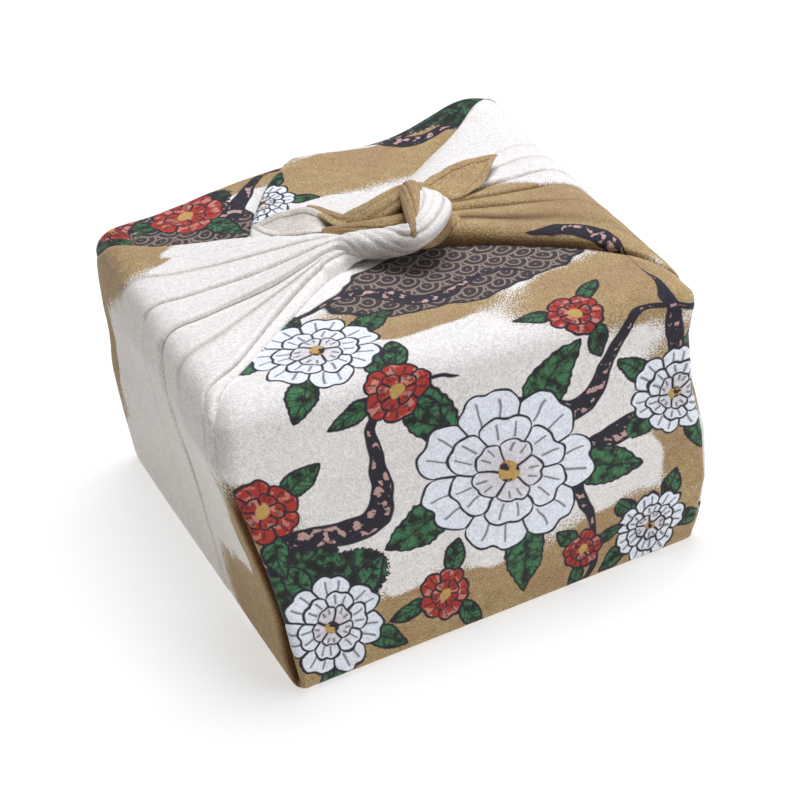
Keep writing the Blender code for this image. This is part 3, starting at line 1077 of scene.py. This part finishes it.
def crown(width, lift, edges):
    """How high a tie stands across its width. A wide one rises slowly from its folds and a narrow one is a
    round bunch, clear of what is under it."""
    front, back = (min(max(share * width, LEAST_ROLL), width / 2) for share in edges[:2])
    in_front = ACROSS_TIE * width < front
    near = np.clip(np.minimum(ACROSS_TIE * width / front, (1 - ACROSS_TIE) * width / back), 0, 1)
    foot = np.where(in_front, edges.front_edge, min(edges.back_edge, edges.back_share * lift))
    foot = np.maximum(np.minimum(foot, lift), lift - 0.4 * width)
    steep = np.where(in_front, front, back) < LEAST_ROLL + 1
    rise = foot + (lift - foot) * (1 - (1 - near) ** 2) ** np.where(steep, 0.5, 0.8)
    rise[0] = rise[-1] = lift - min(lift + TUCK, 0.45 * width)
    return rise


def tie(side, table, valleys, edges):
    """The rows of a tie on the side at x = side, which is -1 or 1, with their places on the flat cloth."""
    table = spline(table, 9)
    lines, painted_crease_shade = [], []
    for k, (reach, height, front, back, lift, pleat) in enumerate(table):
        wider, higher = around(table, k)[:2]
        out = np.array((higher, -wider)) / math.hypot(higher, wider)
        crease = np.clip((HEIGHT - height) / HALF_DOWN, 0, 1)
        neck = float(smooth(*NECK, reach))
        shares, drop, line = pleats(valleys, pleat, crease, neck)
        from_fold = ACROSS_TIE * (back - front)
        # Painted shade: beside the lip the left tie's front fold is darkened as the slot's shade, and the
        # right tie's front fold gets a painted shadow where it lies on the cloth under it.
        beside_lip = np.exp(-((from_fold / SLOT_SHADE) ** 2)) * smooth(*SLOT_HEIGHTS, height)
        under = 0.8 * np.exp(-((from_fold / EDGE_SHADE) ** 2)) * smooth(112, 126, height)
        painted_crease_shade.append(np.maximum(line, SLOT_PAINTED_SHADE * beside_lip if edges.slot else under))
        along = front + (back - front) * shares
        rise = crown(back - front, lift, edges)
        rise[1:-1] = np.maximum((rise - drop)[1:-1], 0.5)
        rise[0] -= edges.slot * float(smooth(*LOOSE_HEIGHTS, height) * smooth(0, 10, height))
        on_side = max(out[0], 0) ** 0.5
        inner = HALF_SIDE - CORNER_RADIUS
        over = np.maximum(abs(along) - inner, 0) * on_side
        angle = np.minimum(over / CORNER_RADIUS, math.pi / 2)
        facing = np.cos(angle)
        x = reach - CORNER_RADIUS * (1 - facing) + rise * facing * out[0]
        y = along + np.sign(along) * (
            np.where(over > 0, CORNER_RADIUS * np.sin(angle) + inner - abs(along), 0)
            + rise * np.sin(angle) * out[0]
        )
        z = height + rise * out[1]
        row = np.column_stack([side * x, y, z])
        waves = ruffle(row, 30, 0.9) + ruffle(row * (1, 1.6, 1), 12, 0.35)
        row[:, 0] += waves * side * max(out[0], 0) * smooth(2, 16, height)
        row[:, 2] += waves * 0.6 * max(out[1], 0)
        row[:, 2] = np.maximum(row[:, 2], 0.0)
        lines.append(settled(row))
    lines = np.array(lines)
    # Each band between two valleys is laid flat from its own middle, so the print steps from one to the
    # next, also low on the side, where the pleats no longer show.
    flat = np.zeros(lines.shape[:2] + (2,))
    last_place = len(ACROSS_TIE) - 1
    parts = [0.0] + [valley.place for valley in valleys] + [1.0]
    for first, last in zip(parts, parts[1:]):
        middle = int(round((first + last) / 2 * last_place))
        centre = lines[:, middle]
        down = steps_along(centre)
        own = np.flatnonzero((ACROSS_TIE >= first) & (ACROSS_TIE <= last))
        for k in range(len(lines)):
            step = around(centre, k)
            step = step / max(np.linalg.norm(step), 1e-9)
            reach_along = steps_along(lines[k])
            offset = lines[k][own] - centre[k]
            forward = offset @ step
            sideways = reach_along[own] - reach_along[middle]
            sideways = np.sign(sideways) * np.sqrt(np.maximum(sideways**2 - forward**2, 0))
            flat[k, own, 0] = side * (table[0][0] + down[k] + forward)
            flat[k, own, 1] = (middle / last_place - 0.5) * (2 * HALF_SIDE) + sideways
    return lines, flat, np.array(painted_crease_shade)


rows, flat, painted_crease_shade = tie(-1, LEFT_TIE, LEFT_VALLEYS, LEFT_EDGES)
left_tie = cloth_piece("left_tie", rows, flat, painted_crease_shade)
size, area = flat_size(flat)
rows, flat, painted_crease_shade = tie(1, RIGHT_TIE, RIGHT_VALLEYS, RIGHT_EDGES)
right_tie = cloth_piece("right_tie", rows[:, ::-1], flat[:, ::-1], painted_crease_shade[:, ::-1])
size, area = flat_size(flat)


# The reef knot: each tie's end goes once round the other as a bunched strand, over and back beside itself.
# The cloth is gathered in it, so that sharp small valleys run along the strands and wind round the roll.


class StrandRow(NamedTuple):
    """One place along a strand, with the strand's half width and half thickness there."""

    x: float
    y: float
    z: float
    wide: float
    thick: float
    turn: float  # degrees that the flat side is turned about the strand
    wind: float  # degrees that the gathers have wound round the strand by here


KNOT_CORE = np.array((12.0, -8.0, 130.0))  # the strands' flat sides face away from here
LEFT_STRAND = rows_of(StrandRow, (
    (-34, 1, 138, 2.5, 1.2, 0, 0),
    (-25, -3, 139.5, 3.6, 3.0, 0, 40),
    (-15, -8, 142.6, 5.2, 5.0, 0, 110),
    (-6, -15, 143, 6.8, 6.2, 0, 190),
    (3, -23, 145.6, 7.0, 6.2, 0, 260),
    (9, -28, 149.2, 6.6, 5.6, 0, 300),
    (16.5, -24.5, 152, 7.4, 5.2, 0, 310),
    (24, -13, 153, 8.6, 4.8, 0, 315),
    (25, 0.5, 150.4, 8.6, 3.8, 0, 320),
    (18, 7, 149, 9.5, 6, 0, 330),
    (9, 4, 147.6, 10.4, 7.4, -10, 340),
    (0, 3, 146.2, 9.6, 6.8, -20, 350),
    (-7, 7, 145, 6.5, 4.4, -20, 360),
    (-14, 12, 143, 4, 2.2, -20, 365),
    (-22, 18, 141, 2, 1.0, -20, 370),
))
RIGHT_STRAND = rows_of(StrandRow, (
    (47, -14, 130.5, 3, 2, 0, 120),
    (38, -12, 136, 6, 4, 0, 120),
    (27, -11, 142, 7.5, 5.5, 0, 120),
    (18, -19, 142, 6.0, 4.5, 0, 120),
    (12, -27, 144, 3.6, 3.0, 0, 120),
    (7.2, -31, 148.5, 2.0, 2.2, 0, 120),
    (8.6, -27.5, 153, 2.8, 3.2, 0, 118),
    (13.0, -15.5, 156, 4.4, 4.2, 0, 90),
    (18.0, -2, 155.9, 5.4, 4.6, 0, 60),
    (21.4, 7, 151.6, 5.6, 4.2, 0, 32),
    (27, 12, 147.2, 6.6, 4.2, 0, 25),
    (31, 13, 144.5, 5, 2.6, 0, 20),
    (34, 14, 143.2, 2, 1.0, 0, 20),
))
LEFT_FOLD = rows_of(StrandRow, (
    (16, -12, 147.5, 3.0, 2.6, 0, 0),
    (8, -12, 148.2, 4.0, 3.4, 0, 20),
    (0, -10, 147.4, 4.4, 3.6, 0, 50),
    (-7, -5, 146, 4.2, 3.2, 0, 80),
    (-14, 2, 144.4, 3.4, 2.2, 0, 100),
    (-21, 9, 143, 2.0, 1.0, 0, 110),
))
RING_POINTS = 72
ROUND_STRAND = 2 * math.pi * np.arange(RING_POINTS) / RING_POINTS


class Groove(NamedTuple):
    """A sharp valley along a strand, with shade painted into it."""

    start: float  # degrees round the strand from its flat side's edge
    depth: float  # as a share of the strand
    width: float  # in degrees


def strand(side, table, grooves, start):
    """A flattened tube of bunched cloth along a smooth curve, with its places on the flat cloth, which begin
    `start` from the cloth's middle."""
    table = spline(table, 8)
    lines, painted_crease_shade = [], []
    for k, (x, y, z, wide, thick, turn, wind) in enumerate(table):
        place = np.array((x, y, z))
        along = around(table, k)[:3]
        along /= np.linalg.norm(along)
        out = place - KNOT_CORE
        out -= along * out.dot(along)
        out /= np.linalg.norm(out)
        across = np.cross(along, out)
        cos, sin = on_circle(math.radians(turn))
        out, across = out * cos + across * sin, across * cos - out * sin
        size, line = np.ones_like(ROUND_STRAND), np.zeros_like(ROUND_STRAND)
        for groove in grooves:
            away = ROUND_STRAND - math.radians(groove.start - wind)
            away = abs((away + math.pi) % (2 * math.pi) - math.pi) / math.radians(groove.width)
            size -= groove.depth * min(thick / 4, 1) * np.exp(-away)
            # Painted shade along each groove, darker the deeper it is.
            line = np.maximum(line, groove.depth * 3 * np.exp(-((away * 1.6) ** 2)))
        painted_crease_shade.append(np.minimum(line, 1))
        ring = (
            place
            + np.outer(wide * size * np.cos(ROUND_STRAND), across)
            + np.outer(thick * size * np.sin(ROUND_STRAND), out)
        )
        lines.append(ring + np.outer(ruffle(ring, 5, 0.35), out))
    lines = np.array(lines)
    flat = np.zeros((len(lines), len(ROUND_STRAND) + 1, 2))
    down = steps_along(table[:, :3])
    for k, ring in enumerate(lines):
        ring_along = steps_along(np.vstack([ring, ring[:1]]))
        flat[k, :, 0] = side * (start + down[k])
        flat[k, :, 1] = ring_along - ring_along[-1] / 2
    return lines, flat, np.array(painted_crease_shade)


LEFT_GROOVES = rows_of(Groove, (
    (20, 0.17, 8), (58, 0.07, 6), (95, 0.12, 8), (140, 0.08, 6), (190, 0.12, 8), (235, 0.08, 7),
    (290, 0.12, 9), (330, 0.07, 6),
))
RIGHT_GROOVES = rows_of(Groove, (
    (182, 0.26, 9), (150, 0.08, 6), (215, 0.12, 7), (105, 0.12, 8), (60, 0.14, 9), (320, 0.15, 9),
))
for name, side, table, grooves, start, under in (
    ("left_strand", -1, LEFT_STRAND, LEFT_GROOVES, 320, left_tie),
    ("left_fold", -1, LEFT_FOLD, RIGHT_GROOVES, 430, left_tie),
    ("right_strand", 1, RIGHT_STRAND, RIGHT_GROOVES, 320, right_tie),
):
    rows, flat, painted_crease_shade = strand(side, table, grooves, start)
    piece = cloth_piece(name, rows[:, ::-1], flat[:, ::-1], painted_crease_shade[:, ::-1], closed=True)
    (width, reach), area = flat_size(flat)


# The two ends: each is the cloth's own corner, left as a short leaf with its narrow rolled hem. The right one
# lies face up, and the left one shows its paler wrong side, with a strip of its face folded over.


class LeafRow(NamedTuple):
    """One place along a leaf's middle, with its reach to either side."""

    x: float
    y: float
    z: float
    left: float
    right: float
    cup: float  # how far its sides stand up


RIGHT_LEAF = rows_of(LeafRow, (
    (28, 10, 145, 5.0, 4.0, 0.0),
    (34.5, 11, 145.6, 7.0, 6.6, 0.4),
    (42, 13, 145.4, 9.0, 8.0, 0.8),
    (50, 16.4, 145.6, 8.8, 8.2, 1.0),
    (57.9, 20.4, 145.6, 6.2, 6.4, 1.0),
    (65.8, 25.4, 145.0, 2.6, 3.4, 0.6),
    (72.3, 30.4, 144.6, 0.15, 0.15, 0.0),
))
LEFT_LEAF = rows_of(LeafRow, (
    (-4.9, 4, 143.5, 2.6, 3.0, 0.0),
    (-11.2, 7, 142.2, 3.0, 3.4, 0.4),
    (-17.3, 12, 143.3, 3.6, 4.4, 1.0),
    (-23.9, 18, 144.6, 6.0, 7.4, 0.9),
    (-30.8, 24.5, 143.3, 6.0, 7.0, 0.8),
    (-38.6, 30, 141.8, 3.9, 4.6, 0.5),
    (-44.7, 35, 141.0, 0.2, 0.2, 0.0),
))
LEFT_TURNOVER = rows_of(LeafRow, (
    (-4.0, -3, 145.0, 6.2, 3.2, 0.0),
    (-9.1, 1, 145.0, 7.8, 2.8, 0.2),
    (-13.0, 6, 145.6, 4.6, 2.6, 0.4),
    (-16.1, 13, 146.4, 3.0, 2.4, 0.4),
    (-18.4, 21, 146.9, 2.0, 1.8, 0.2),
    (-20.6, 27, 147.3, 0.2, 0.2, 0.0),
))
FACING = np.array((-0.12, -0.48, 0.87))  # the way that a leaf's upper side looks
HEM = 2.4  # width of the rolled hem along a leaf's two edges
HEM_RISE = 0.4  # how far it stands up
HEM_SHADE_LINE = 0.35  # width of the shade painted along its inner edge
TO_CORNER = 495  # from the cloth's middle to its corner, along the cloth
ACROSS_LEAF = np.linspace(-1, 1, 65)


def leaf(side, table):
    """A leaf's rows with their places on the flat cloth, whose corner is at its tip."""
    table = spline(table, 9)
    lines, painted_crease_shade = [], []
    for k, (x, y, z, left, right, cup) in enumerate(table):
        along = around(table, k)[:3]
        along /= np.linalg.norm(along)
        across = np.cross(FACING, along)
        across /= np.linalg.norm(across)
        out = np.cross(along, across)
        reach = np.where(ACROSS_LEAF < 0, left, right)
        from_edge = (1 - abs(ACROSS_LEAF)) * reach
        hem = HEM_RISE * smooth(HEM, HEM - 0.5, from_edge) * smooth(0, 0.6, from_edge)
        lift = cup * ACROSS_LEAF**2 + hem
        line = np.array((x, y, z)) + np.outer(ACROSS_LEAF * reach, across) + np.outer(lift, out)
        line[:, 2] += (ruffle(line, 9, 1.1) + ruffle(line, 4, 0.25)) * min((left + right) / 8, 1)
        lines.append(line)
        # Painted shade along the inner edge of each hem.
        painted_crease_shade.append(0.4 * np.exp(-(((from_edge - HEM) / HEM_SHADE_LINE) ** 2)))
    lines = np.array(lines)
    down = steps_along(table[:, :3])
    flat = np.zeros(lines.shape[:2] + (2,))
    for k, line in enumerate(lines):
        reach = steps_along(line)
        flat[k, :, 0] = side * (TO_CORNER - down[-1] + down[k])
        flat[k, :, 1] = reach - reach[len(reach) // 2]
    return lines, flat, np.array(painted_crease_shade)


for name, side, table in (
    ("right_leaf", 1, RIGHT_LEAF),
    ("left_leaf", -1, LEFT_LEAF),
    ("left_turnover", -1, LEFT_TURNOVER),
):
    rows, flat, painted_crease_shade = leaf(side, table)
    piece = cloth_piece(name, rows, flat, painted_crease_shade)
    size, area = flat_size(flat)
    "left_strand" if side < 0 else "right_strand"
    if name == "left_leaf":
        piece.data.materials.clear()
        piece.data.materials.append(crepe_wrong_side)
